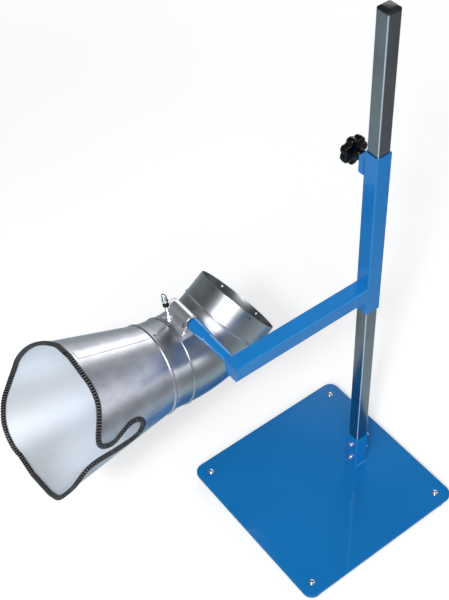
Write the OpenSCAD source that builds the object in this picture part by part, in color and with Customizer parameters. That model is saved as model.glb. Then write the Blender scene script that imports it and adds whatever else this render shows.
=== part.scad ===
// Ducted air hood on a height-adjustable floor stand.
// Millimetres. Floor at z = 0, post upright along +Z, arm and funnel point along -Y.

/* [Base] */
// Side length of the square base plate
plate_side = 365; // [330:5:420]
// Thickness of the base plate
plate_t = 5; // [4:1:8]
// Radius of the base plate corners
plate_corner_r = 20; // [10:1:30]
// Distance of each foot screw from the two nearest plate edges
foot_inset = 26; // [24:1:34]
// Diameter of a rubber foot where it meets the plate
foot_d = 44; // [36:1:46]
// Height of a rubber foot
foot_h = 20; // [16:1:28]
// Distance of the post behind the middle of the plate
post_back = 90; // [70:5:110]

/* [Post] */
// Outside width of the square post
post_w = 25; // [20:1:30]
// Wall of the square post
post_wall = 2; // [1.5:0.5:3]
// Length of the post, from the plate up
post_len = 1029; // [950:1:1150]
// Height of the welded socket that holds the post
socket_h = 85; // [75:1:110]
// Height of the lower socket bolt above the plate
bolt_low = 18; // [14:1:24]
// Distance between the two socket bolts
bolt_pitch = 42; // [30:1:46]

/* [Carriage] */
// Wall of the socket, sleeve and arm tubes
tube_wall = 2; // [1.5:0.5:3]
// Play between the post and the tube round it, each side
slide_play = 0.5; // [0.3:0.1:1]
// Length of the sliding sleeve
sleeve_len = 338; // [260:1:380]
// Height of the sleeve's lower end above the plate
sleeve_z = 448; // [420:1:500]
// Height of the arm's middle above the plate
arm_z = 495; // [480:1:520]
// Distance from the post's middle to the free end of the arm
arm_reach = 291.5; // [270:0.5:310]
// Clamp screw height below the sleeve's top end
clamp_drop = 30; // [22:1:45]
// How far the clamp boss stands out from the sleeve
boss_out = 11; // [8:1:16]
// Height of the clamp boss
boss_h = 34; // [26:1:40]

/* [Clamp knob] */
// Diameter over the lobes of the star knob
knob_d = 50; // [46:1:60]
// Number of lobes
knob_lobes = 7; // [5:1:8]
// Thickness of the lobed head
knob_t = 15; // [12:1:20]
// Diameter of the knob's neck
knob_neck_d = 19; // [17:1:23]
// Length of the knob's neck
knob_neck = 16; // [10:1:20]
// Free length of screw between boss and neck, when clamped
screw_gap = 10; // [6:1:14]
// Nominal diameter of the clamp screw
screw_d = 8; // [8:1:10]
// Pitch of the clamp screw
screw_pitch = 1.25; // [1:0.25:1.5]

/* [Hood hinge] */
// Outside diameter of the blue cross tube
cross_d = 19; // [18:1:21]
// Distance from the arm's side to the end of the cross tube's bush
cross_len = 105; // [100:1:120]
// Diameter of the bush on the end of the cross tube
bush_d = 24; // [22:1:26]
// Distance of the pivot from the free end of the arm
pivot_back = 13.5; // [13:0.5:20]
// Diameter of the pivot rod
rod_d = 12; // [10:1:12]
// Outside diameter of the hinge barrel
barrel_d = 23; // [20:1:24]
// Length of the hinge barrel
barrel_len = 47.5; // [40:0.5:50]
// Radial play of the rod in the barrel
rod_play = 0.06; // [0.02:0.01:0.1]
// Sheet of the hinge bracket
bracket_t = 3; // [2:0.5:4]
// Width of the web between barrel and foot
web_w = 30; // [22:1:34]
// Length of the bracket foot across the duct
foot_w = 64; // [60:1:72]
// Height of the tall stud above the duct
stud_h = 50; // [44:1:54]

/* [Duct] */
// Outside diameter of the duct and of the hose spigot
duct_d = 158; // [150:1:162]
// Sheet thickness of elbow and funnel
sheet = 1; // [0.8:0.1:1.5]
// Angle that the elbow turns through
bend_angle = 45; // [40:1:50]
// Radius of the elbow's centre line
bend_r = 150; // [140:1:170]
// Straight length at each end of the elbow
stub_len = 47; // [40:1:60]
// Height of the pressed beads
bead_h = 1.8; // [1:0.1:2.5]
// Slope of the funnel axis above level
funnel_rise = 9.3; // [5:0.1:15]
// How far the elbow's corner lies behind the tilt axis
elbow_back = 29; // [27:0.5:31]
// How far the elbow's corner lies below the tilt axis
elbow_drop = 113.5; // [112:0.5:116]
// Distance of the duct's middle plane to the side of the post
duct_side = 156; // [154:1:166]

/* [Funnel] */
// Half angle of the funnel cone
cone_angle = 11.3; // [9:0.1:13]
// Outside radius of the cone at its small end
cone_r0 = 81.5; // [81:0.5:84]
// Slant reach of the mouth at the top
mouth_top = 154; // [148:1:160]
// Reach of the mouth at the sides
mouth_side = 189; // [180:1:196]
// Reach of the lower lip
mouth_lip = 226; // [218:1:232]
// Where the side slot ends, measured from the small end
slot_end = 71; // [66:1:90]
// Half width of the round end of the slot
slot_r = 16.5; // [13:0.5:18]
// Half width of the slot's narrow throat
slot_throat = 7; // [6:0.5:9]
// Height of the edge trim over the sheet edge
trim_grip = 6.5; // [5:0.5:8]
// How far the trim reaches past the sheet edge
trim_over = 2.5; // [1.5:0.5:3]
// Thickness of the trim on each side of the sheet
trim_side = 3; // [2:0.5:4]

/* [Hidden] */
$fn = 96;
eps = 0.01;
z0 = foot_h + plate_t;                    // top of the plate
tube_w = post_w + 2 * (slide_play + tube_wall);
tube_in = post_w + 2 * slide_play;
post_edge_r = 2;
tube_edge_r = 3;
post_y = post_back;
foot_c = plate_side / 2 - foot_inset;
foot_screw_d = 8;
bolt_d = 6;
bolt_z = [z0 + bolt_low, z0 + bolt_low + bolt_pitch];
sleeve_bottom = z0 + sleeve_z;
sleeve_top = sleeve_bottom + sleeve_len;
clamp_z = sleeve_top - clamp_drop;
boss_x = tube_w / 2 + boss_out;
pad_t = 2;
pad_x = post_w / 2 + 0.05;                // face of the thrust pad when clamped
arm_zc = z0 + arm_z;
arm_end_y = post_y - arm_reach;
pivot_y = arm_end_y + pivot_back;
pivot_z = arm_zc;
cross_x0 = tube_w / 2;
cross_x1 = cross_x0 + cross_len;
bush_len = 20;
bush_taper = 24;
washer_t = 1.6;
disc_t = 1.6;                             // friction disc on the end of the bush
jam_t = 3.6;                              // thin nut behind the disc
barrel_x0 = cross_x1 + disc_t + jam_t + 0.3;
barrel_x1 = barrel_x0 + barrel_len;
ring_x = barrel_x1 + 4;
duct_r = duct_d / 2;
stub_t = bend_r * tan(bend_angle / 2);    // from elbow corner to the straight ends
elbow_y = pivot_y + elbow_back;
elbow_c = pivot_z - elbow_drop;
spigot_rise = bend_angle - funnel_rise;
bisect = (180 - funnel_rise + spigot_rise) / 2;
bend_cy = elbow_y + bend_r / cos(bend_angle / 2) * cos(bisect);
bend_cz = elbow_c + bend_r / cos(bend_angle / 2) * sin(bisect);
bend_a0 = 270 - funnel_rise - 360;        // first angle of the bend, from +Y
neck_s = stub_t + stub_len;               // small end of the funnel on its axis
foot_phi0 = -99;                          // the foot's two ends along the bend
foot_phi1 = -78;
bolt_phi = -92;
foot_bolt_a = 16;
lock_h = 25;                              // lock nut on the tall stud
crown_r = 3.6 * post_w;                    // crown of the post cap
// flat heads and washers touch the curved sheet at their rims only
head_gap = 6 * 6 / (2 * (duct_r - sheet)) + 0.05;
washer_gap = 6.25 * 6.25 / (2 * (bend_r - duct_r - bracket_t)) + 0.04;
lap_angle = 85;
neck_rivet_a = [88, 208, 328];
collar_len = 14;                          // straight collar below the rolled neck
rivet_s = neck_s - 10.2;
lap_w = 9;
cone_h = mouth_lip + 20;
knob_x0 = boss_x + screw_gap;             // free end of the knob neck
knob_x1 = knob_x0 + knob_neck;            // back of the lobed head

// ---------- shared shapes ----------
module round_square(w, r, d = 0) {
    h = d == 0 ? w : d;
    square([w - 2 * r, h], center = true);
    square([w, h - 2 * r], center = true);
    for (x = [-1, 1], y = [-1, 1])
        translate([x * (w / 2 - r), y * (h / 2 - r)]) circle(r);
}

module square_tube(w, wall, r, len) {
    linear_extrude(len) difference() {
        round_square(w, r);
        round_square(w - 2 * wall, max(r - wall, 0.6));
    }
}

module hex_nut(af, h, hole) {
    difference() {
        intersection() {
            cylinder(d = af / cos(30), h = h, $fn = 6);
            rotate_extrude() polygon([[0, 0], [af * 0.49, 0], [af * 0.58, h * 0.14],
                [af * 0.58, h * 0.86], [af * 0.49, h], [0, h]]);
        }
        translate([0, 0, -1]) cylinder(d = hole, h = h + 2);
    }
}

module flat_washer(d, hole, t) {
    difference() {
        cylinder(d = d, h = t);
        translate([0, 0, -1]) cylinder(d = hole, h = t + 2);
    }
}

// Screw thread drawn as a row of equal ridges
module thread(d, len, pitch) {
    n = floor(len / pitch);
    k = 0.3 * pitch;
    rotate_extrude() polygon(concat([[0, 0]],
        [for (i = [0 : n - 1]) each [[d / 2 - k, i * pitch], [d / 2, (i + 0.5) * pitch]]],
        [[d / 2 - k, n * pitch], [d / 2 - k, len - 0.6], [d / 2 - k - 0.6, len], [0, len]]));
}

module at_corners(c) for (x = [-1, 1], y = [-1, 1]) translate([x * c, y * c, 0]) children();
module along_neg_x() rotate([0, -90, 0]) children();
module at_post() translate([0, post_y, 0]) children();
module at_elbow() translate([-duct_side, elbow_y, elbow_c]) children();
// local Z along the funnel axis, local Y up
module on_funnel() at_elbow() rotate([90 - funnel_rise, 0, 0]) children();
// local Z out of the spigot, local -Y up
module on_spigot() at_elbow() rotate([spigot_rise - 90, 0, 0]) children();
// rotation axis of the bend along local Z, angles from +Y
module on_bend() translate([-duct_side, bend_cy, bend_cz]) rotate([90, 0, 90]) children();
// duct centre line at angle phi of the bend, local Z towards the bend's centre
module at_bend(phi) translate([-duct_side, bend_cy + bend_r * cos(phi), bend_cz + bend_r * sin(phi)])
    rotate([phi + 90, 0, 0]) children();

// ---------- base ----------
module base_plate() color("royalblue") difference() {
    translate([0, 0, foot_h]) linear_extrude(plate_t) round_square(plate_side, plate_corner_r);
    at_corners(foot_c) translate([0, 0, foot_h - 1]) cylinder(d = foot_screw_d + 0.4, h = plate_t + 2);
}

module rubber_feet() color("dimgray") at_corners(foot_c) difference() {
    rotate_extrude() polygon([[0, 0], [foot_d / 2 - 4, 0], [foot_d / 2 - 2.8, 1.2],
        [foot_d / 2, foot_h - 2], [foot_d / 2, foot_h], [0, foot_h]]);
    translate([0, 0, -1]) cylinder(d = 19, h = 10);
    cylinder(d = foot_screw_d + 0.4, h = foot_h + 1);
}

module foot_screws() color("silver") at_corners(foot_c) {
    translate([0, 0, 3]) cylinder(d = foot_screw_d, h = z0 - 3 + eps);
    translate([0, 0, z0]) difference() {
        intersection() {
            cylinder(d = 16, h = 5.2);
            translate([0, 0, 5.2 - 10.2]) sphere(10.2);
        }
        translate([0, 0, 2.4]) cylinder(d = 5.8, h = 6, $fn = 6);
    }
}

module foot_nuts() color("silver") at_corners(foot_c) {
    translate([0, 0, 9 - 1.6]) flat_washer(17, foot_screw_d, 1.6);
    translate([0, 0, 9 - 1.6 - 4]) hex_nut(13, 4, foot_screw_d);
}

module post_socket() color("royalblue") difference() {
    at_post() translate([0, 0, z0]) square_tube(tube_w, tube_wall, tube_edge_r, socket_h);
    for (z = bolt_z) translate([0, post_y - tube_w, z]) rotate([-90, 0, 0])
        cylinder(d = bolt_d + 0.4, h = 2 * tube_w);
}

module fillet_bar(len, r) translate([-len / 2, 0, 0]) rotate([90, 0, 90])
    linear_extrude(len) difference() {
        square(r);
        translate([r, r]) circle(r);
    }

module weld_frame(w, r) difference() {
    intersection() {
        union() for (a = [0, 90, 180, 270]) rotate([0, 0, a]) translate([0, w / 2, 0]) fillet_bar(w + 2 * r, r);
        linear_extrude(r) round_square(w + 2 * r, tube_edge_r + r);
    }
    translate([0, 0, -1]) linear_extrude(r + 2) round_square(w, tube_edge_r);
}

module socket_weld() color("royalblue") at_post() translate([0, 0, z0]) weld_frame(tube_w, 3);

module socket_bolts() color("silver") for (z = bolt_z) translate([0, post_y, z]) rotate([-90, 0, 0]) {
    translate([0, 0, -tube_w / 2 - washer_t]) cylinder(d = bolt_d, h = tube_w + 2 * washer_t + 9);
    translate([0, 0, -tube_w / 2 - washer_t - 4]) hex_nut(10, 4, 0);
}

module socket_washers() color("silver") for (z = bolt_z, m = [0, 1]) at_post() translate([0, 0, z])
    rotate([0, 0, 180 * m]) translate([0, tube_w / 2, 0]) rotate([-90, 0, 0])
        flat_washer(12.5, bolt_d, washer_t);

module socket_nuts() color("silver") for (z = bolt_z) translate([0, post_y + tube_w / 2 + washer_t, z])
    rotate([-90, 0, 0]) hex_nut(10, 5, bolt_d);

module post() color("lightsteelblue") difference() {
    at_post() translate([0, 0, z0]) square_tube(post_w, post_wall, post_edge_r, post_len);
    for (z = bolt_z) translate([0, post_y - tube_w, z]) rotate([-90, 0, 0])
        cylinder(d = bolt_d + 0.4, h = 2 * tube_w);
}

module post_cap() color("dimgray") at_post() translate([0, 0, z0 + post_len]) {
    // flange with a low crowned top
    intersection() {
        linear_extrude(7) round_square(post_w + 0.4, post_edge_r + 0.6);
        translate([0, 0, 6.4 - crown_r]) sphere(crown_r);
    }
    // hollow plug with gripping ribs
    difference() {
        union() {
            translate([0, 0, -16]) linear_extrude(16.5) round_square(post_w - 2 * post_wall - 1.2, 1);
            for (z = [-14, -10.5, -7, -3.5]) translate([0, 0, z])
                linear_extrude(1.2) round_square(post_w - 2 * post_wall, 0.6);
        }
        translate([0, 0, -17]) linear_extrude(14) square(post_w - 2 * post_wall - 4.4, center = true);
    }
}

// ---------- carriage ----------
module sleeve() color("dodgerblue") difference() {
    at_post() translate([0, 0, sleeve_bottom]) square_tube(tube_w, tube_wall, tube_edge_r, sleeve_len);
    translate([0, post_y, clamp_z]) along_neg_x() cylinder(d = screw_d + 0.1, h = tube_w);
}

module clamp_boss() color("dodgerblue") difference() {
    translate([-tube_w / 2, post_y - tube_w / 2, clamp_z]) rotate([-90, 0, 0])
        linear_extrude(tube_w) polygon([[0, -boss_h / 2], [-boss_out + 2, -boss_h / 2],
            [-boss_out, -boss_h / 2 + 2], [-boss_out, boss_h / 2 - 2], [-boss_out + 2, boss_h / 2],
            [0, boss_h / 2]]);
    translate([0, post_y, clamp_z]) along_neg_x()
        cylinder(d = screw_d + 0.1, h = boss_out + tube_w);
    translate([0, post_y, sleeve_bottom]) linear_extrude(sleeve_len) round_square(tube_w, tube_edge_r);
}

module arm() color("dodgerblue") difference() {
    translate([0, post_y - tube_w / 2, arm_zc]) rotate([90, 0, 0])
        square_tube(tube_w, tube_wall, tube_edge_r, arm_reach - tube_w / 2);
    translate([0, pivot_y, pivot_z]) along_neg_x() cylinder(d = cross_d - 4, h = tube_w);
}

module arm_weld() color("dodgerblue") intersection() {
    translate([0, post_y - tube_w / 2, arm_zc]) rotate([90, 0, 0]) weld_frame(tube_w, 2.5);
    translate([0, post_y - tube_w / 2, arm_zc]) cube([tube_w - 2 * tube_edge_r + 2, tube_w + 10, 2 * tube_w],
        center = true);
}

module arm_end_plate() color("dodgerblue") translate([0, arm_end_y + 2.6, arm_zc]) rotate([90, 0, 0])
    linear_extrude(2) round_square(tube_w - 2 * tube_wall, max(tube_edge_r - tube_wall, 0.6));

module cross_tube() color("dodgerblue") translate([-cross_x0, pivot_y, pivot_z]) along_neg_x()
    difference() {
        union() {
            cylinder(d = cross_d, h = cross_len - bush_len - bush_taper + 2);
            // weld fillet against the arm
            rotate_extrude() difference() {
                square([cross_d / 2 + 3, 3]);
                translate([cross_d / 2 + 3, 3]) circle(3);
            }
        }
        translate([0, 0, -1]) cylinder(d = cross_d - 4, h = cross_len);
    }

module cross_bush() color("dodgerblue") translate([-cross_x1, pivot_y, pivot_z]) rotate([0, 90, 0])
    difference() {
        union() {
            rotate_extrude() polygon([[0, 0], [bush_d / 2 - 1, 0], [bush_d / 2, 1], [bush_d / 2, bush_len],
                [cross_d / 2 + 1, bush_len + bush_taper - 5], [cross_d / 2, bush_len + bush_taper],
                [0, bush_len + bush_taper]]);
            translate([0, 0, bush_len]) cylinder(d = cross_d - 4, h = bush_taper + 10);
        }
        translate([0, 0, -1]) cylinder(d = rod_d, h = bush_len + bush_taper + 12);
        // seat of the cross tube
        translate([0, 0, bush_len + bush_taper - 2]) difference() {
            cylinder(d = cross_d + 10, h = 20);
            translate([0, 0, -1]) cylinder(d = cross_d - 4, h = 30);
        }
    }

module pivot_rod() color("silver") difference() {
    translate([-cross_x1 + bush_len + bush_taper + 8, pivot_y, pivot_z]) along_neg_x() {
        l = barrel_x1 - cross_x1 + bush_len + bush_taper + 9.5;
        rotate_extrude() polygon([[0, 0], [rod_d / 2, 0], [rod_d / 2, l - 1], [rod_d / 2 - 1, l],
            [3, l], [3, l + 4], [2.2, l + 4.8], [0, l + 4.8]]);
    }
    translate([-ring_x, pivot_y - rod_d, pivot_z + 0.42]) rotate([-90, 0, 0])
        cylinder(d = 2.5, h = 2 * rod_d);
}

module friction_disc() color("dimgray") translate([-cross_x1, pivot_y, pivot_z]) along_neg_x()
    flat_washer(bush_d - 1, rod_d, disc_t);

module jam_nut() color("silver") translate([-cross_x1 - disc_t, pivot_y, pivot_z]) along_neg_x()
    hex_nut(20, jam_t, rod_d);

// split ring through the end of the pivot rod
module pivot_ring() color("silver") translate([-ring_x, pivot_y, pivot_z + 6.5])
    rotate([0, 90, 0]) rotate_extrude() translate([6.5, 0]) circle(d = 1.5, $fn = 24);

// ---------- clamp ----------
module clamp_pad() color("gold") translate([-pad_x, post_y, clamp_z]) along_neg_x() {
    cylinder(d = screw_d - 0.4, h = pad_t);
    cylinder(d = 3, h = pad_t + 5);
}

module clamp_screw() color("silver") translate([-pad_x - pad_t - 0.05, post_y, clamp_z]) along_neg_x()
    difference() {
        union() {
            cylinder(d = screw_d - 1, h = 6);
            translate([0, 0, 1]) cylinder(d = screw_d, h = boss_x - pad_x - pad_t - 1.5);
            translate([0, 0, boss_x - pad_x - pad_t - 1])
                thread(screw_d, screw_gap + 0.9, screw_pitch);
            translate([0, 0, boss_x - pad_x - pad_t]) cylinder(d = screw_d - 1.2, h = screw_gap + 11.9);
        }
        translate([0, 0, -1]) cylinder(d = 3.1, h = 7);
    }

module knob_outline() {
    r = knob_d / 2;
    flute = r * 0.34;
    difference() {
        circle(r);
        for (i = [0 : knob_lobes - 1]) rotate([0, 0, (i + 0.5) * 360 / knob_lobes])
            translate([r * 1.17, 0]) circle(flute);
    }
}

module star_knob() color("dimgray") translate([-knob_x0, post_y, clamp_z]) along_neg_x()
    difference() {
        union() {
            // neck
            rotate_extrude() polygon([[0, 0], [knob_neck_d / 2 - 2, 0], [knob_neck_d / 2 - 1, 1],
                [knob_neck_d / 2 + 1, knob_neck + 1], [0, knob_neck + 1]]);
            // lobed head with rounded edges
            intersection() {
                translate([0, 0, knob_neck]) linear_extrude(knob_t) knob_outline();
                translate([0, 0, knob_neck]) rotate_extrude() {
                    square([knob_d / 2 - 5, knob_t]);
                    translate([0, 5]) square([knob_d / 2, knob_t - 10]);
                    translate([knob_d / 2 - 5, 5]) circle(5);
                    translate([knob_d / 2 - 5, knob_t - 5]) circle(5);
                }
            }
            // crowned front
            translate([0, 0, knob_neck + knob_t]) intersection() {
                cylinder(d = knob_neck_d + 6, h = 4, center = true);
                translate([0, 0, -38]) sphere(40);
            }
        }
        // hollow back, round the neck
        translate([0, 0, knob_neck - 1]) rotate_extrude() polygon([[knob_neck_d / 2 + 1.5, 0],
            [knob_d / 2 * 0.66, 0], [knob_d / 2 * 0.61, 8], [knob_neck_d / 2 + 2.2, 8]]);
        // screw seat
        translate([0, 0, -1]) cylinder(d = screw_d - 1.2, h = 13);
    }

// ---------- duct ----------
module duct_form(r, past = 0) {
    on_funnel() translate([0, 0, stub_t]) cylinder(r = r, h = stub_len + past);
    on_spigot() translate([0, 0, stub_t]) cylinder(r = r, h = stub_len + past);
    on_bend() rotate([0, 0, bend_a0]) rotate_extrude(angle = bend_angle) translate([bend_r, 0]) circle(r);
}

// Straight end of the bend: sheet with a pressed bead, hollow behind it
module stub_sheet() rotate_extrude() difference() {
    union() {
        translate([duct_r - sheet, stub_t]) square([sheet, stub_len]);
        translate([duct_r - 0.4, stub_t + bead_h + 1.5]) circle(bead_h + 0.4, $fn = 32);
    }
    translate([duct_r - sheet - 0.4, stub_t + bead_h + 1.5]) circle(bead_h + 0.4, $fn = 32);
}

module elbow() color("silver") difference() {
    on_bend() rotate([0, 0, bend_a0]) rotate_extrude(angle = bend_angle) translate([bend_r, 0])
        difference() {
            circle(duct_r);
            circle(duct_r - sheet);
        }
    for (a = [-1, 1]) at_bend(bolt_phi) rotate([0, a * foot_bolt_a, 0])
        translate([0, 0, duct_r - 12]) cylinder(d = bolt_d + 0.4, h = 20);
}

module hose_spigot() color("silver") on_spigot() difference() {
    stub_sheet();
    for (i = [0 : 5]) rotate([0, 0, -28 - 60 * i]) translate([duct_r - 5, 0, neck_s - 6])
        rotate([0, 90, 0]) cylinder(d = 4, h = 10);
}
module elbow_neck() color("silver") on_funnel() difference() {
    stub_sheet();
    neck_holes();
}

// Sheet profile of the funnel: rolled neck over the elbow's end, then the cone
module cone_skin(grow_out, grow_in, s0, s1) {
    k = tan(cone_angle);
    rotate_extrude() polygon([[cone_r0 + s0 * k - sheet - grow_in, s0], [cone_r0 + s0 * k + grow_out, s0],
        [cone_r0 + s1 * k + grow_out, s1], [cone_r0 + s1 * k - sheet - grow_in, s1]]);
}

// Smooth line through hand-set points
function cr(a, b, c, d, t) = 0.5 * (2 * b + (c - a) * t + (2 * a - 5 * b + 4 * c - d) * t * t
    + (3 * b - a - 3 * c + d) * t * t * t);
function smooth(p, n) = concat([for (i = [1 : len(p) - 3]) for (k = [0 : n - 1])
    cr(p[i - 1], p[i], p[i + 1], p[i + 2], k / n)], [p[len(p) - 2]]);
function unit(v) = v / norm(v);
function shifted(c, d) = [for (i = [0 : len(c) - 1])
    let (t = unit(c[min(i + 1, len(c) - 1)] - c[max(i - 1, 0)])) c[i] + d * [t.y, -t.x]];
function reversed(c) = [for (i = [len(c) - 1 : -1 : 0]) c[i]];

// Mouth edge seen from the side, as [height above the axis, distance along the axis]
top_r = cone_r0 + mouth_top * tan(cone_angle);
low_r = cone_r0 + mouth_lip * tan(cone_angle);
slot_c = slot_end + slot_r;
// both sides share these points, so that they meet cleanly at the top and at the lower lip
top_end = [[top_r + 40, mouth_top], [top_r + 12, mouth_top], [top_r - 6, mouth_top],
    [top_r - 7.5, mouth_top]];
lip_end = [[-low_r + 7.5, mouth_lip], [-low_r + 6, mouth_lip], [-low_r - 12, mouth_lip],
    [-low_r - 40, mouth_lip]];
far_side = [[top_r - 9.5, mouth_top + 1.6], [top_r - 14, mouth_top + 4.5], [90, mouth_top + 8.6],
    [76, mouth_side - 19.5], [60, mouth_side - 14], [44, mouth_side - 8.7], [25, mouth_side - 3],
    [3, mouth_side + 1.8], [-23, mouth_side + 12], [-49, mouth_side + 25.5], [-65, mouth_lip - 5],
    [-82, mouth_lip + 0.8], [-97, mouth_lip + 3.6], [-110, mouth_lip + 3.8],
    [-low_r + 9.5, mouth_lip + 1.8]];
near_side = [[top_r - 9.5, mouth_top - 0.9], [top_r - 16, mouth_top - 2.6], [88, mouth_top - 3],
    [80, mouth_top - 2.4], [71.5, mouth_top], [62, mouth_top + 4.2], [49, mouth_top + 10],
    [37, mouth_top + 14], [24, mouth_top + 14.8], [13.5, mouth_top + 9.5], [6.5, mouth_top - 1],
    [slot_throat - 4, slot_c + 55], [slot_throat - 3.5, slot_c + 45], [slot_throat + 2.4, slot_c + 33],
    [slot_r - 1.2, slot_c + 19.5], [slot_r + 0.5, slot_c + 7], [slot_r - 2.5, slot_c - 4],
    [slot_r * 0.48, slot_c - 10.5], [-1.3, slot_end + 3.2], [-slot_r * 0.67, slot_c - 11.3],
    [-slot_r - 1.5, slot_c - 7], [-slot_r - 5.3, slot_c], [-slot_r - 6.3, slot_c + 13.5],
    [-slot_throat - 13.2, slot_c + 33.3], [-slot_throat - 9.4, slot_c + 52.7],
    [-slot_throat - 5.7, slot_c + 71.5], [-slot_throat - 3.7, mouth_side - 14.5],
    [-12.5, mouth_side + 1.5], [-20.5, mouth_side + 12.8], [-36.5, mouth_side + 22.3],
    [-50, mouth_lip - 9.5], [-62, mouth_lip - 1], [-74, mouth_lip + 5.5], [-88, mouth_lip + 6],
    [-100, mouth_lip + 3.8], [-111, mouth_lip + 2.3], [-low_r + 9.5, mouth_lip + 0.8]];
function edge_line(side) = concat([for (i = [1 : 3]) top_end[i]],
    smooth(concat([top_end[2]], side, [lip_end[1]]), 2), [for (i = [0 : 2]) lip_end[i]]);
far_edge = edge_line(far_side);
near_edge = edge_line(near_side);

module side_cut(profile, near) rotate([90, 0, 90]) translate([0, 0, near ? 0 : -cone_h])
    linear_extrude(cone_h) polygon(profile);

module mouth_opening() {
    side_cut(concat(near_edge, [[-low_r - 40, 400], [top_r + 40, 400]]), true);
    side_cut(concat(far_edge, [[-low_r - 40, 400], [top_r + 40, 400]]), false);
}

module mouth_band(inner, outer) {
    side_cut(concat(shifted(near_edge, outer), reversed(shifted(near_edge, -inner))), true);
    side_cut(concat(shifted(far_edge, outer), reversed(shifted(far_edge, -inner))), false);
}

module funnel_sheet() difference() {
    union() {
        translate([0, 0, neck_s]) cone_skin(0, 0, 0, cone_h);
        translate([0, 0, neck_s]) rotate_extrude() difference() {
            union() {
                translate([duct_r + 0.6, -3]) circle(3.6, $fn = 48);
                translate([duct_r, -collar_len]) square([1, collar_len]);
                translate([duct_r - 0.4, -0.6]) square([cone_r0 - duct_r + 0.4, 1.2]);
            }
            translate([0, -20]) square([duct_r, 20]);
        }
    }
    translate([0, 0, neck_s]) mouth_opening();
}

module funnel() color("gainsboro") on_funnel() difference() {
    funnel_sheet();
    neck_holes();
}

module funnel_lap() color("gainsboro") on_funnel() difference() {
    intersection() {
        translate([0, 0, neck_s]) cone_skin(0.9, -sheet, 2.5, mouth_top - 12);
        rotate([0, 0, lap_angle]) linear_extrude(neck_s + cone_h)
            polygon([[0, 0], [200, 0], [200 * cos(lap_w), 200 * sin(lap_w)]]);
    }
}

module neck_holes() for (a = neck_rivet_a) rotate([0, 0, a]) translate([duct_r - 5, 0, rivet_s])
    rotate([0, 90, 0]) cylinder(d = 3.1, h = 10);

module neck_rivets() color("silver") on_funnel() for (a = neck_rivet_a) rotate([0, 0, a])
    translate([duct_r + 1, 0, rivet_s]) rotate([0, 90, 0]) {
        translate([0, 0, -sheet - 2]) cylinder(d = 3, h = sheet + 2.5);
        intersection() {
            translate([0, 0, 0.02]) cylinder(d = 6, h = 2);
            translate([0, 0, 1.5 - 5]) sphere(5);
        }
    }

module mouth_trim() color("dimgray") on_funnel() difference() {
    intersection() {
        translate([0, 0, neck_s]) cone_skin(trim_side, trim_side, 40, cone_h);
        translate([0, 0, neck_s]) mouth_band(trim_grip, trim_over);
    }
    funnel_sheet();
}

// ---------- hinge bracket ----------
module hinge_bracket() color("lightgray") difference() {
    union() {
        translate([-barrel_x0, pivot_y, pivot_z]) along_neg_x() cylinder(d = barrel_d, h = barrel_len);
        // two legs from the barrel down to the foot
        difference() {
            for (y = [-barrel_d / 2 + 0.3, barrel_d / 2 - 0.3 - bracket_t])
                translate([-duct_side - web_w / 2, pivot_y + y, pivot_z - 45]) cube([web_w, bracket_t, 45]);
            duct_form(duct_r + bracket_t / 2);
        }
        // foot that follows the throat of the elbow
        intersection() {
            on_bend() rotate([0, 0, foot_phi0]) rotate_extrude(angle = foot_phi1 - foot_phi0)
                translate([bend_r, 0]) difference() {
                    circle(duct_r + bracket_t);
                    circle(duct_r);
                }
            translate([-duct_side - foot_w / 2, bend_cy - 100, bend_cz - bend_r]) cube([foot_w, 200, bend_r]);
        }
    }
    translate([-barrel_x0 + 1, pivot_y, pivot_z]) along_neg_x()
        cylinder(r = rod_d / 2 + rod_play, h = barrel_len + 2);
    at_foot_bolts([-1, 1]) translate([0, 0, -duct_r]) cylinder(d = bolt_d + 0.4, h = duct_r + 10);
}

// local Z out of the duct, -1 for the far bolt, 1 for the near one
module at_foot_bolts(sides) for (a = sides) at_bend(bolt_phi) rotate([0, a * foot_bolt_a, 0])
    translate([0, 0, duct_r]) children();

module foot_bolt(h) {
    translate([0, 0, -sheet - 2.5 - head_gap]) intersection() {
        cylinder(d = 12, h = 2.5);
        translate([0, 0, 8]) sphere(8);
    }
    translate([0, 0, -sheet - 1]) cylinder(d = bolt_d - 1, h = h);
    translate([0, 0, -sheet]) cylinder(d = bolt_d, h = sheet + bracket_t + 2);
    translate([0, 0, bracket_t + 1]) thread(bolt_d, h - bracket_t - 1, 1);
}

module bracket_bolts() color("silver") {
    at_foot_bolts([1]) foot_bolt(18);
    at_foot_bolts([-1]) foot_bolt(stud_h - 3);
}

module bracket_washers() color("silver") at_foot_bolts([-1, 1]) translate([0, 0, bracket_t + washer_gap])
    flat_washer(12.5, bolt_d, washer_t);

module bracket_nuts() color("silver") at_foot_bolts([-1, 1])
    translate([0, 0, bracket_t + washer_gap + washer_t])
    hex_nut(10, 5, bolt_d);

module lock_nut() color("dimgray") at_foot_bolts([-1]) translate([0, 0, lock_h]) {
    hex_nut(10, 6, bolt_d);
    translate([0, 0, 5.9]) flat_washer(9, bolt_d, 2.6);
}

module cap_nut() color("silver") at_foot_bolts([-1]) translate([0, 0, lock_h + 8.5]) difference() {
    union() {
        hex_nut(10, 6, 0);
        translate([0, 0, 5]) cylinder(d = 9.4, h = stud_h - lock_h - 18);
        translate([0, 0, stud_h - lock_h - 13]) sphere(d = 9.4);
    }
    translate([0, 0, -1]) cylinder(d = bolt_d, h = stud_h - lock_h - 3 - 8.5 + 1.2);
}

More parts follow.
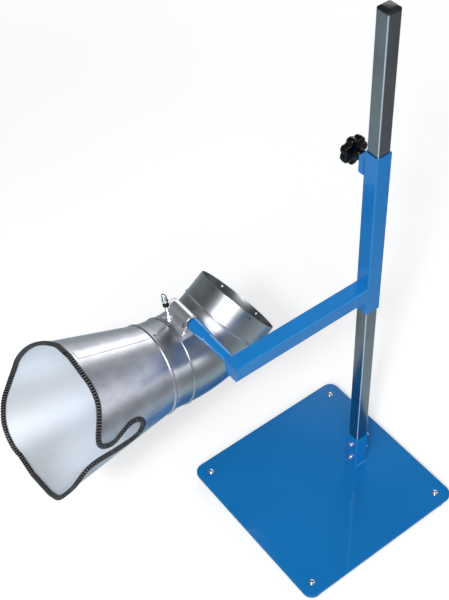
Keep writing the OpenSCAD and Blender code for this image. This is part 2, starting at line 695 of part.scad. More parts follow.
base_plate();
post_socket();
socket_weld();
rubber_feet();
foot_screws();
foot_nuts();
socket_bolts();
socket_washers();
socket_nuts();
post();
post_cap();
sleeve();
clamp_boss();
arm();
arm_weld();
arm_end_plate();
cross_tube();
cross_bush();
pivot_rod();
friction_disc();
jam_nut();
pivot_ring();
clamp_pad();
clamp_screw();
star_knob();
hinge_bracket();
bracket_bolts();
bracket_washers();
bracket_nuts();
lock_nut();
cap_nut();
elbow();
hose_spigot();
elbow_neck();
funnel();
funnel_lap();
neck_rivets();
mouth_trim();
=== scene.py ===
"""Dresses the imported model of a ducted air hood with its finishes, mouldings and small hardware."""

import logging
import math
from collections.abc import Callable, Sequence
from dataclasses import dataclass, field
from enum import Enum

import bmesh
import bpy
from mathutils import Matrix, Vector


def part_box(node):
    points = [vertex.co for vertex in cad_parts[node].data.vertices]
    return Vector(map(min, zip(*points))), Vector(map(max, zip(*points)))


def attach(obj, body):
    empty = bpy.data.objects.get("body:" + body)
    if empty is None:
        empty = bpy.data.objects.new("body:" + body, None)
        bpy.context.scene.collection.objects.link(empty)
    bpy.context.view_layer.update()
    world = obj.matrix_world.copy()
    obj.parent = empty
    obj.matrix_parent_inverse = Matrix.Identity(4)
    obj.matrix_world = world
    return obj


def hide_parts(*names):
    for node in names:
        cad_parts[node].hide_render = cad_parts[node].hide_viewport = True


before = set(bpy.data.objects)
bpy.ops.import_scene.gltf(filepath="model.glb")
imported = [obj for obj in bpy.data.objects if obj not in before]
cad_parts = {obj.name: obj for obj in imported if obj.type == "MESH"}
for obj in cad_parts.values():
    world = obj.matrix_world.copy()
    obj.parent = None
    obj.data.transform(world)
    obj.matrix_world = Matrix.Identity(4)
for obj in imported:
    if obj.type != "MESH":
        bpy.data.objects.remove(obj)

log = logging.getLogger("hood")

MM = 0.001
BEND_CORNER = (-156.0, -159.0, 406.5)  # where the elbow's two axes meet, in millimetres
FUNNEL_RISE = math.radians(9.3)  # slope of the funnel's axis above level
Point = tuple[float, float]
Colour = tuple[float, float, float]
Point3 = tuple[float, float, float]


class Body(Enum):
    """The bodies that the new pieces ride on."""

    BASE = "base"
    KNOB = "knob"
    HOOD = "hood"


def srgb(red: int, green: int, blue: int) -> Colour:
    """Turn a paint colour given in 0..255 steps into linear light.

    Args:
        red: Red step.
        green: Green step.
        blue: Blue step.

    Returns:
        The three linear parts.
    """
    return tuple(
        c / 12.92 if c <= 0.04045 else ((c + 0.055) / 1.055) ** 2.4
        for c in (red / 255, green / 255, blue / 255)
    )


# ---------------------------------------------------------------- shader writing


class Val:
    """A shader socket that plain Python arithmetic can be written with."""

    def __init__(self, graph: "Graph", socket: bpy.types.NodeSocket) -> None:
        """Keep the socket and the graph that it belongs to."""
        self.graph = graph
        self.socket = socket

    def _calc(self, operation: str, first: "Val | float", second: "Val | float | None" = None) -> "Val":
        """Add one Math node.

        Args:
            operation: The Math node's operation.
            first: Left value.
            second: Right value, if the operation has one.

        Returns:
            The result.
        """
        inputs = {0: first} if second is None else {0: first, 1: second}
        return self.graph.add("ShaderNodeMath", {"operation": operation}, inputs)

    def __add__(self, other: "Val | float") -> "Val":
        """Sum."""
        return self._calc("ADD", self, other)

    def __radd__(self, other: float) -> "Val":
        """Sum with the number first."""
        return self._calc("ADD", other, self)

    def __sub__(self, other: "Val | float") -> "Val":
        """Difference."""
        return self._calc("SUBTRACT", self, other)

    def __rsub__(self, other: float) -> "Val":
        """Difference with the number first."""
        return self._calc("SUBTRACT", other, self)

    def __mul__(self, other: "Val | float") -> "Val":
        """Product."""
        return self._calc("MULTIPLY", self, other)

    def __rmul__(self, other: float) -> "Val":
        """Product with the number first."""
        return self._calc("MULTIPLY", other, self)

    def __pow__(self, other: float) -> "Val":
        """Power."""
        return self._calc("POWER", self, other)

    def size(self) -> "Val":
        """The value without its sign."""
        return self._calc("ABSOLUTE", self)

    def fade(self, low: float, high: float) -> "Val":
        """Run smoothly from 0 at low to 1 at high.

        Args:
            low: Value that gives 0.
            high: Value that gives 1.

        Returns:
            The faded value.
        """
        return self.graph.add(
            "ShaderNodeMapRange",
            {"interpolation_type": "SMOOTHSTEP"},
            {0: self, 1: low, 2: high, 3: 0.0, 4: 1.0},
        )


class Graph:
    """The node tree of one material or world, with a shader at its end."""

    def __init__(self, name: str, owner: bpy.types.Material | bpy.types.World | None = None) -> None:
        """Start a material, or go on with the nodes of one that is there.

        Args:
            name: The name of a new material.
            owner: A material or world to go on with.
        """
        self.material = owner or bpy.data.materials.new(name)
        self.material.use_nodes = True
        self.tree = self.material.node_tree
        self.shader = self.tree.nodes.get("Principled BSDF") or self.tree.nodes["Background"]

    def add(
        self,
        kind: str,
        settings: dict[str, object] | None = None,
        inputs: dict[int | str, object] | None = None,
        out: int | str = 0,
    ) -> Val:
        """Add any node.

        Args:
            kind: The node's type.
            settings: Its settings, set first.
            inputs: Values or links by socket index or name.
            out: The output that is handed back.

        Returns:
            The chosen output.
        """
        node = self.tree.nodes.new(kind)
        for key, value in (settings or {}).items():
            setattr(node, key, value)
        for key, value in (inputs or {}).items():
            self.feed(node.inputs[key], value)
        return Val(self, node.outputs[out])

    def feed(self, socket: bpy.types.NodeSocket, value: object) -> None:
        """Link or set one socket.

        Args:
            socket: The input socket.
            value: A wrapped socket, a number, or a tuple.
        """
        if isinstance(value, Val):
            self.tree.links.new(value.socket, socket)
        elif isinstance(value, tuple) and len(socket.default_value) > len(value):
            socket.default_value = (*value, 1.0)
        else:
            socket.default_value = value

    def place(self, scale: Sequence[float] = (1, 1, 1), turn: Sequence[float] = (0, 0, 0)) -> Val:
        """Object coordinates, stretched and turned.

        Args:
            scale: Stretch along each axis.
            turn: Turn about each axis in radians.

        Returns:
            The coordinates.
        """
        where = self.add("ShaderNodeTexCoord", out="Object")
        inputs = {"Vector": where, "Scale": tuple(scale), "Rotation": tuple(turn)}
        return self.add("ShaderNodeMapping", {}, inputs)

    def axis(self, where: Val, number: int) -> Val:
        """One coordinate: 0 for X, 1 for Y and 2 for Z."""
        return self.add("ShaderNodeSeparateXYZ", {}, {0: where}, out=number)

    def vector(
        self,
        operation: str,
        first: object,
        second: object = None,
        more: dict[int, object] | None = None,
        out: int = 0,
    ) -> Val:
        """Add one Vector Math node.

        Args:
            operation: The node's operation.
            first: First vector.
            second: Second vector, if the operation has one.
            more: Values of further sockets.
            out: The output that is handed back, 1 for a number.

        Returns:
            The result.
        """
        inputs = {0: first} | ({} if second is None else {1: second}) | (more or {})
        return self.add("ShaderNodeVectorMath", {"operation": operation}, inputs, out=out)

    def noise(self, where: Val, scale: float, detail: float = 3.0, rough: float = 0.55) -> Val:
        """A cloudy value between about 0.2 and 0.8.

        Args:
            where: Coordinates.
            scale: Clouds per metre.
            detail: Octaves.
            rough: How strong the small octaves are.

        Returns:
            The value.
        """
        return self.add(
            "ShaderNodeTexNoise", {}, {"Vector": where, "Scale": scale, "Detail": detail, "Roughness": rough}
        )

    def mix(self, share: Val | float, first: object, second: object) -> Val:
        """Mix two colours.

        Args:
            share: Share of the second colour.
            first: First colour.
            second: Second colour.

        Returns:
            The mixed colour.
        """
        inputs = {0: share, 6: first, 7: second}
        return self.add("ShaderNodeMix", {"data_type": "RGBA"}, inputs, out=2)

    def bump(self, height: Val, strength: float, distance: float, under: Val | None = None) -> Val:
        """Turn a height into a normal.

        Args:
            height: The height value.
            strength: Strength of the bump.
            distance: Depth in metres.
            under: A normal that this one is laid over.

        Returns:
            The normal.
        """
        inputs = {"Strength": strength, "Distance": distance, "Height": height}
        if under is not None:
            inputs["Normal"] = under
        return self.add("ShaderNodeBump", {}, inputs)

    def shade(self, **sockets: object) -> bpy.types.Material:
        """Feed the Principled shader's sockets.

        Args:
            **sockets: Socket names with _ for blanks, and their values.

        Returns:
            The finished material.
        """
        for key, value in sockets.items():
            self.feed(self.shader.inputs[key.replace("_", " ")], value)
        return self.material


# ---------------------------------------------------------------- finishes


@dataclass(frozen=True)
class PowderCoat:
    """Glossy baked paint on steel: fine orange peel, slow drifts of colour and a little dust."""

    name: str
    colour: Colour
    deep: Colour
    gloss: float = 0.20
    peel: float = 0.10
    ripple: float = 0.0

    def build(self) -> bpy.types.Material:
        """Make the material.

        Returns:
            The material.
        """
        g = Graph(self.name)
        at = g.place()
        cloud = g.noise(at, 6.0, 3.0)
        mottle = g.noise(at, 330.0, 2.0, 0.6)
        dust = g.noise(at, 1300.0, 1.0)
        tone = g.mix(cloud.fade(0.3, 0.7) * 0.6 + mottle.fade(0.35, 0.65) * 0.4, self.deep, self.colour)
        tone = g.mix(dust.fade(0.72, 0.80) * 0.15, tone, srgb(90, 150, 215))
        rough = self.gloss + cloud * 0.05 + dust.fade(0.6, 0.75) * 0.08
        normal = g.bump(g.noise(at, 420.0, 2.0, 0.5), self.peel, 0.0008)
        if self.ripple:
            scales = g.add(
                "ShaderNodeTexWave", {"wave_type": "BANDS", "bands_direction": "DIAGONAL"},
                {"Vector": at, "Scale": 130.0, "Distortion": 2.0, "Detail": 1.0}, out=1,
            )
            normal = g.bump(scales, self.ripple, 0.0012, normal)
        return g.shade(
            Base_Color=tone,
            Roughness=rough,
            Normal=normal,
            Specular_IOR_Level=0.3,
            Coat_Weight=0.5,
            Coat_Roughness=0.04,
        )


@dataclass(frozen=True)
class Galvanised:
    """Zinc-coated sheet: soft crystals, rolling lines along one axis and dull clouds."""

    name: str
    light: Colour
    dark: Colour
    stain: Colour
    stained: float
    crystal: float
    flake: float
    shine: float
    grain: Point3 = (1.0, 1.0, 1.0)
    dents: float = 0.08

    def build(self) -> bpy.types.Material:
        """Make the material.

        Returns:
            The material.
        """
        g = Graph(self.name)
        at = g.place()
        crystal = g.add(
            "ShaderNodeTexVoronoi", {"feature": "F1"},
            {"Vector": at, "Scale": self.crystal, "Randomness": 1.0}, out="Color",
        )
        facet = g.add("ShaderNodeSeparateColor", {}, {0: crystal}, out=0)
        lines = g.noise(g.place(self.grain), 300.0, 3.0, 0.6)
        cloud = g.noise(at, 8.0, 4.0, 0.6)
        drift = g.noise(at, 34.0, 3.0)
        tone = g.mix(facet * self.flake + drift * (1.0 - self.flake), self.dark, self.light)
        tone = g.mix(cloud.fade(0.50, 0.76) * self.stained, tone, self.stain)
        rough = self.shine + facet * (self.flake * 0.10) + cloud * 0.08 + lines * 0.03
        normal = g.bump(g.noise(at, 14.0, 1.0, 0.4), self.dents, 0.006)
        normal = g.bump(lines, 0.02, 0.0003, normal)
        return g.shade(Base_Color=tone, Metallic=1.0, Roughness=rough, Normal=normal)


@dataclass(frozen=True)
class DrawnTube(Galvanised):
    """Square drawn tube: as the sheet, with a painted highlight along its four corners, which are paler and
    less metallic.
    """

    centre: Point = (0.0, 0.09)
    half: float = 0.0125
    band: Point = (0.0022, 0.0012)  # short of the sharp corner: where the painted highlight starts and is full
    # Colour of the painted highlight on the corners.
    pale_tone: Colour = (0.66, 0.72, 0.78)

    def build(self) -> bpy.types.Material:
        """Make the material.

        Returns:
            The material.
        """
        material = super().build()
        g = Graph(self.name, material)
        at = g.place()
        x, y = (g.axis(at, number) - self.centre[number] for number in (0, 1))
        # Painted highlight: a band along each corner is painted paler and less metallic, standing in for the
        # shine of the round corners.
        corner = (x.size() + y.size()).fade(*(2 * self.half - inside for inside in self.band))
        painted_highlight = corner * (0.65 + g.noise(g.place((1.0, 1.0, 0.2)), 60.0, 3.0) * 0.6)
        base = g.shader.inputs["Base Color"]
        tone = Val(g, base.links[0].from_socket)
        return g.shade(Base_Color=g.mix(painted_highlight, tone, self.pale_tone), Metallic=1.0 - painted_highlight * 0.30)


@dataclass(frozen=True)
class SheetWithPaintedInnerLight:
    """The funnel's sheet: satin and slightly stained outside; its inner side is painted paler and bluer as
    painted light for the brightly lit inside.
    """

    name: str
    start: Point3
    along: Point3
    # The inner colours are painted light: paler and bluer than the outer ones.
    inner: Colour = (0.88, 0.92, 0.97)
    inner_dark: Colour = (0.76, 0.81, 0.88)
    outer: Colour = (0.70, 0.71, 0.76)
    outer_dark: Colour = (0.54, 0.55, 0.60)
    stain: Colour = (0.36, 0.34, 0.33)

    def build(self) -> bpy.types.Material:
        """Make the material.

        Returns:
            The material.
        """
        g = Graph(self.name)
        at = g.place()
        spot = g.vector("SUBTRACT", at, self.start)
        on_axis = g.vector("SCALE", self.along, None, {3: g.vector("DOT_PRODUCT", spot, self.along, out=1)})
        radial = g.vector("NORMALIZE", g.vector("SUBTRACT", spot, on_axis))
        face = g.add("ShaderNodeTexCoord", out="Normal")
        outward = g.vector("DOT_PRODUCT", radial, face, out=1).fade(-0.2, 0.2)
        cloud = g.noise(at, 7.0, 4.0, 0.6)
        drift = g.noise(at, 30.0, 3.0)
        lean = (FUNNEL_RISE, 0.0, 0.0)
        rolled = g.noise(g.place((1.0, 0.08, 1.0), lean), 90.0, 3.0, 0.6)
        fine = g.noise(at, 700.0, 2.0, 0.6)
        mixed = drift * 0.55 + rolled * 0.35 + fine * 0.10
        broad = g.noise(g.place((1.0, 0.05, 1.0), lean), 16.0, 2.0, 0.5)
        outside = g.mix(mixed.fade(0.35, 0.65), self.outer_dark, self.outer)
        outside = g.mix(cloud.fade(0.48, 0.74) * 0.35, outside, self.stain)
        # Painted light: the inner side is painted paler, in broad streaks along the axis, and is given less
        # metal.
        inside = g.mix(broad.fade(0.32, 0.62) * 0.8 + rolled * 0.2, self.inner_dark, self.inner)
        tone = g.mix(outward, inside, outside)
        rough = 0.36 - outward * 0.08 + cloud * 0.08 + rolled * 0.05
        normal = g.bump(g.noise(at, 13.0, 1.0, 0.4), 0.07, 0.006)
        normal = g.bump(rolled * 0.6 + fine * 0.4, 0.04, 0.0005, normal)
        return g.shade(Base_Color=tone, Metallic=outward * 0.50 + 0.50, Roughness=rough, Normal=normal)


@dataclass(frozen=True)
class Plated:
    """Bright plating on turned or pressed hardware, with fine tool lines and dull spots."""

    name: str
    colour: Colour
    spots: Colour
    shine: float
    lines: float = 2600.0

    def build(self) -> bpy.types.Material:
        """Make the material.

        Returns:
            The material.
        """
        g = Graph(self.name)
        at = g.place()
        cloud = g.noise(at, 140.0, 3.0)
        fine = g.noise(g.place((1.0, 1.0, 5.0)), self.lines, 2.0)
        tone = g.mix(cloud.fade(0.5, 0.8) * 0.6, self.colour, self.spots)
        rough = self.shine + cloud * 0.08 + fine * 0.05
        return g.shade(
            Base_Color=tone, Metallic=1.0, Roughness=rough, Normal=g.bump(fine, 0.05, 0.0001)
        )


@dataclass(frozen=True)
class Moulded:
    """Moulded plastic or rubber with a fine pebbled skin, paler patches of wear, and on ribbed strips a
    painted highlight along the ribs' tops.
    """

    name: str
    colour: Colour
    pale_tone: Colour
    gloss: float
    pebble: float
    scale: float = 1800.0
    coat: float = 0.0
    # Colour of a painted highlight on the ribs' tops, read from the mesh's rib-top value.
    crest: Colour | None = None
    specular: float = 0.5

    def build(self) -> bpy.types.Material:
        """Make the material.

        Returns:
            The material.
        """
        g = Graph(self.name)
        at = g.place()
        cloud = g.noise(at, 60.0, 3.0)
        skin = g.noise(at, self.scale, 2.0, 0.6)
        tone = g.mix(cloud.fade(0.45, 0.75), self.colour, self.pale_tone)
        # Painted highlight: the ribs' tops are painted paler, while the grooves stay dark.
        if self.crest:
            rib = g.add("ShaderNodeAttribute", {"attribute_name": "crest"}, out="Fac")
            tone = g.mix(rib.fade(0.2, 1.0) ** 2.0 * (0.45 + cloud * 0.7), tone, self.crest)
        rough = self.gloss + cloud * 0.10 + skin * 0.06
        return g.shade(
            Base_Color=tone,
            Roughness=rough,
            Normal=g.bump(skin, self.pebble, 0.0002),
            Specular_IOR_Level=self.specular,
            Coat_Weight=self.coat,
            Coat_Roughness=0.10,
        )


FUNNEL_START = tuple(c * MM for c in BEND_CORNER)
FUNNEL_ALONG = (0.0, -math.cos(FUNNEL_RISE), math.sin(FUNNEL_RISE))


# Kept by finish and not by name: the CAD's own materials carry the names of the record's slots.
MADE: dict["Finish", bpy.types.Material] = {}


class Finish(Enum):
    """Every finish on the object."""

    PAINT = PowderCoat("blue_powder_coat_finish", (0.010, 0.225, 0.620), (0.007, 0.195, 0.560))
    WELD = PowderCoat("blue_coated_weld_finish", (0.010, 0.210, 0.590), (0.007, 0.180, 0.520), ripple=0.5)
    PLATE = PowderCoat("blue_plate_coat_finish", (0.006, 0.184, 0.515), (0.004, 0.164, 0.470), 0.17, 0.04)
    POST = DrawnTube(
        "post_galvanised_finish", (0.34, 0.37, 0.40), (0.24, 0.26, 0.28), (0.16, 0.16, 0.15),
        stained=0.4, crystal=70.0, flake=0.15, shine=0.15, grain=(6.0, 6.0, 0.4), dents=0.03,
    )
    DUCT = Galvanised(
        "duct_galvanised_finish", (0.60, 0.63, 0.66), (0.40, 0.43, 0.46), (0.28, 0.29, 0.27),
        stained=0.45, crystal=60.0, flake=0.06, shine=0.27,
    )
    FUNNEL = SheetWithPaintedInnerLight("funnel_galvanised_finish", FUNNEL_START, FUNNEL_ALONG)
    BRACKET = Plated("bracket_zinc_finish", (0.84, 0.83, 0.87), (0.44, 0.44, 0.45), 0.36, 900.0)
    SCREW = Plated("screw_chrome_finish", (0.80, 0.82, 0.85), (0.55, 0.56, 0.58), 0.04)
    BRIGHT = Plated("bright_zinc_finish", (0.82, 0.84, 0.86), (0.50, 0.51, 0.52), 0.07)
    BOLT = Plated("bolt_zinc_finish", (0.80, 0.82, 0.84), (0.34, 0.35, 0.36), 0.20)
    STEEL = Plated("rod_steel_finish", (0.32, 0.31, 0.31), (0.12, 0.11, 0.11), 0.22)
    BRASS = Plated("pad_brass_finish", (0.58, 0.38, 0.11), (0.24, 0.14, 0.05), 0.28)
    KNOB = Moulded(
        "knob_plastic_finish", (0.0012, 0.0012, 0.0016), (0.0024, 0.0024, 0.003),
        gloss=0.14, pebble=0.02, scale=1500.0, specular=0.35,
    )
    CAP = Moulded("cap_plastic_finish", (0.008, 0.008, 0.009), (0.018, 0.018, 0.020), 0.34, 0.10)
    BLACK = Moulded("black_nylon_finish", (0.006, 0.006, 0.007), (0.012, 0.012, 0.013), 0.26, 0.05)
    RUBBER = Moulded("foot_rubber_finish", (0.010, 0.010, 0.010), (0.030, 0.030, 0.031), 0.55, 0.25, 1100.0)
    # The trim's rib-top colour is a painted highlight.
    TRIM = Moulded(
        "trim_rubber_finish", (0.004, 0.004, 0.005), (0.010, 0.010, 0.012),
        gloss=0.18, pebble=0.05, scale=1400.0, coat=0.15, crest=(0.30, 0.30, 0.33), specular=0.15,
    )

    def material(self) -> bpy.types.Material:
        """Make the finish's material, or take the one that is made.

        Returns:
            The material.
        """
        if self not in MADE:
            MADE[self] = self.value.build()
        return MADE[self]


# ---------------------------------------------------------------- modelling


class Part(Enum):
    """What is selected in edit mode."""

    POINT = "VERT"
    EDGE = "EDGE"
    FACE = "FACE"


class Bench:
    """Small modelling habits that every sub-assembly shares."""

    @staticmethod
    def clear() -> None:
        """Leave edit mode and deselect everything."""
        if bpy.context.object and bpy.context.object.mode != "OBJECT":
            bpy.ops.object.mode_set(mode="OBJECT")
        bpy.ops.object.select_all(action="DESELECT")

    @staticmethod
    def take(piece: bpy.types.Object) -> bpy.types.Object:
        """Make one object the only selected and active one.

        Args:
            piece: The object.

        Returns:
            The same object.
        """
        Bench.clear()
        piece.select_set(True)
        bpy.context.view_layer.objects.active = piece
        return piece

    @staticmethod
    def settle(piece: bpy.types.Object) -> bpy.types.Object:
        """Put an object's place, turn and scale into its mesh.

        Args:
            piece: The object.

        Returns:
            The same object.
        """
        Bench.take(piece)
        bpy.ops.object.transform_apply(location=True, rotation=True, scale=True)
        return piece

    @staticmethod
    def clean(piece: bpy.types.Object, gap: float = 1e-5) -> bpy.types.Object:
        """Merge doubled points and turn every face outwards.

        Args:
            piece: The object.
            gap: Points nearer than this are merged.

        Returns:
            The same object.
        """
        Bench.take(piece)
        bpy.ops.object.mode_set(mode="EDIT")
        bpy.ops.mesh.select_all(action="SELECT")
        bpy.ops.mesh.remove_doubles(threshold=gap)
        bpy.ops.mesh.normals_make_consistent(inside=False)
        bpy.ops.object.mode_set(mode="OBJECT")
        return piece

    @staticmethod
    def smooth(piece: bpy.types.Object, degrees: float) -> bpy.types.Object:
        """Shade a piece smooth up to an angle.

        Args:
            piece: The object.
            degrees: Sharper edges stay hard.

        Returns:
            The same object.
        """
        Bench.take(piece)
        bpy.ops.object.shade_smooth_by_angle(angle=math.radians(degrees))
        return piece

    @staticmethod
    def modify(piece: bpy.types.Object, kind: str, **settings: object) -> bpy.types.Object:
        """Add one modifier and apply it.

        Args:
            piece: The object.
            kind: The modifier's type.
            **settings: The modifier's settings.

        Returns:
            The same object.
        """
        Bench.take(piece)
        modifier = piece.modifiers.new(kind.lower(), kind)
        for key, value in settings.items():
            setattr(modifier, key, value)
        bpy.ops.object.modifier_apply(modifier=modifier.name)
        return piece

    @staticmethod
    def round_edges(piece: bpy.types.Object, width: float, sharper: float) -> bpy.types.Object:
        """Round every edge that is sharper than an angle in radians, by a width in millimetres."""
        settings = {"width": width * MM, "segments": 3, "limit_method": "ANGLE", "angle_limit": sharper}
        return Bench.modify(piece, "BEVEL", **settings)

    @staticmethod
    def copy(piece: bpy.types.Object, move: Vector) -> bpy.types.Object:
        """Copy an object, with a mesh of its own, to another place.

        Args:
            piece: The object.
            move: From its place to the copy's, in metres.

        Returns:
            The copy.
        """
        Bench.take(piece)
        bpy.ops.object.duplicate(linked=False)
        twin = bpy.context.object
        twin.location = twin.location + move
        return Bench.settle(twin)

    @staticmethod
    def join(name: str, parts: Sequence[bpy.types.Object]) -> bpy.types.Object:
        """Join several objects into one.

        Args:
            name: The joined object's name.
            parts: The objects.

        Returns:
            The joined object.
        """
        Bench.take(parts[0])
        for part in parts[1:]:
            part.select_set(True)
        if len(parts) > 1:
            bpy.ops.object.join()
        parts[0].name = name
        parts[0].data.name = name
        return parts[0]

    @staticmethod
    def pick(piece: bpy.types.Object, kind: Part, test: Callable[[Vector, Vector], bool]) -> None:
        """Select part of a mesh by place and direction, and stay in edit mode.

        Args:
            piece: The object.
            kind: Whether points, edges or faces are picked.
            test: Says yes or no to a place and a direction.
        """
        Bench.take(piece)
        bpy.ops.object.mode_set(mode="EDIT")
        bpy.ops.mesh.select_mode(type=kind.value)
        bpy.ops.mesh.select_all(action="DESELECT")
        bpy.ops.object.mode_set(mode="OBJECT")
        mesh = piece.data
        if kind is Part.POINT:
            for point in mesh.vertices:
                point.select = test(point.co, point.normal)
        elif kind is Part.EDGE:
            for edge in mesh.edges:
                a, b = (mesh.vertices[i].co for i in edge.vertices)
                edge.select = test((a + b) / 2, (b - a).normalized())
        else:
            for face in mesh.polygons:
                face.select = test(face.center, face.normal)
        bpy.ops.object.mode_set(mode="EDIT")

    @staticmethod
    def extrude(move: Vector, grow: Sequence[float], centre: Sequence[float]) -> None:
        """Extrude the picked faces by a move and resize them about a centre."""
        bpy.ops.mesh.extrude_region_move(TRANSFORM_OT_translate={"value": move})
        bpy.ops.transform.resize(value=grow, center_override=centre)

    @staticmethod
    def block(name: str, middle: Sequence[float], size: Sequence[float]) -> bpy.types.Object:
        """Start a square part as a cube that is stretched to its size.

        Args:
            name: The part's name.
            middle: Its middle, in metres.
            size: Its size along each axis, in metres.

        Returns:
            The part.
        """
        Bench.clear()
        bpy.ops.mesh.primitive_cube_add(size=1.0, location=middle)
        piece = bpy.context.object
        piece.name = piece.data.name = name
        piece.scale = size
        return Bench.settle(piece)

    @staticmethod
    def turned(
        name: str, start: Vector, along: Vector, steps: Sequence[Point], sides: int = 48, twist: float = 0.0
    ) -> bpy.types.Object:
        """Build a round part as on a lathe: a disc that is extruded and resized step by step.

        Args:
            name: The part's name.
            start: Middle of its first face, in metres.
            along: Direction of its axis.
            steps: Radius and distance along the axis of each ring, in millimetres.
            sides: Corners of the rings.
            twist: Turn of the first corner about the axis, in degrees.

        Returns:
            The part.
        """
        Bench.clear()
        along = along.normalized()
        turn = along.to_track_quat("Z", "Y") @ Matrix.Rotation(math.radians(twist), 4, "Z").to_quaternion()
        first = start + along * (steps[0][1] * MM)
        bpy.ops.mesh.primitive_circle_add(
            vertices=sides,
            radius=steps[0][0] * MM,
            fill_type="NGON",
            location=first,
            rotation=turn.to_euler(),
        )
        piece = bpy.context.object
        piece.name = piece.data.name = name
        Bench.settle(piece)
        bpy.ops.object.mode_set(mode="EDIT")
        bpy.ops.mesh.select_all(action="SELECT")
        for (r0, s0), (r1, s1) in zip(steps, steps[1:]):
            Bench.extrude(along * ((s1 - s0) * MM), (r1 / r0,) * 3, start + along * (s1 * MM))
        Bench.clear()
        return Bench.clean(piece, 1e-6)

    @staticmethod
    def place_on(
        piece: bpy.types.Object, body: Body, finish: Finish, slot: str, stands_for: Sequence[str] = ()
    ) -> bpy.types.Object:
        """Dress a finished piece and let it ride on its body.

        Args:
            piece: The object.
            body: The body that it moves with.
            finish: Its finish.
            slot: The record's material slot; not used.
            stands_for: CAD nodes that it replaces.

        Returns:
            The same object.
        """
        piece.data.materials.clear()
        piece.data.materials.append(finish.material())
        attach(piece, body.value)
        if stands_for:
            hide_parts(*stands_for)
        log.info("piece %s: %d faces on %s", piece.name, len(piece.data.polygons), body.value)
        return piece

    @staticmethod
    def dress(finish: Finish, *names: str) -> None:
        """Give carried CAD nodes their finish.

        Args:
            finish: The finish.
            *names: The nodes.
        """
        for name in names:
            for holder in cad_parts[name].material_slots:
                holder.material = finish.material()
            log.info("node %s: %s", name, finish.value.name)


# ---------------------------------------------------------------- funnel mouth


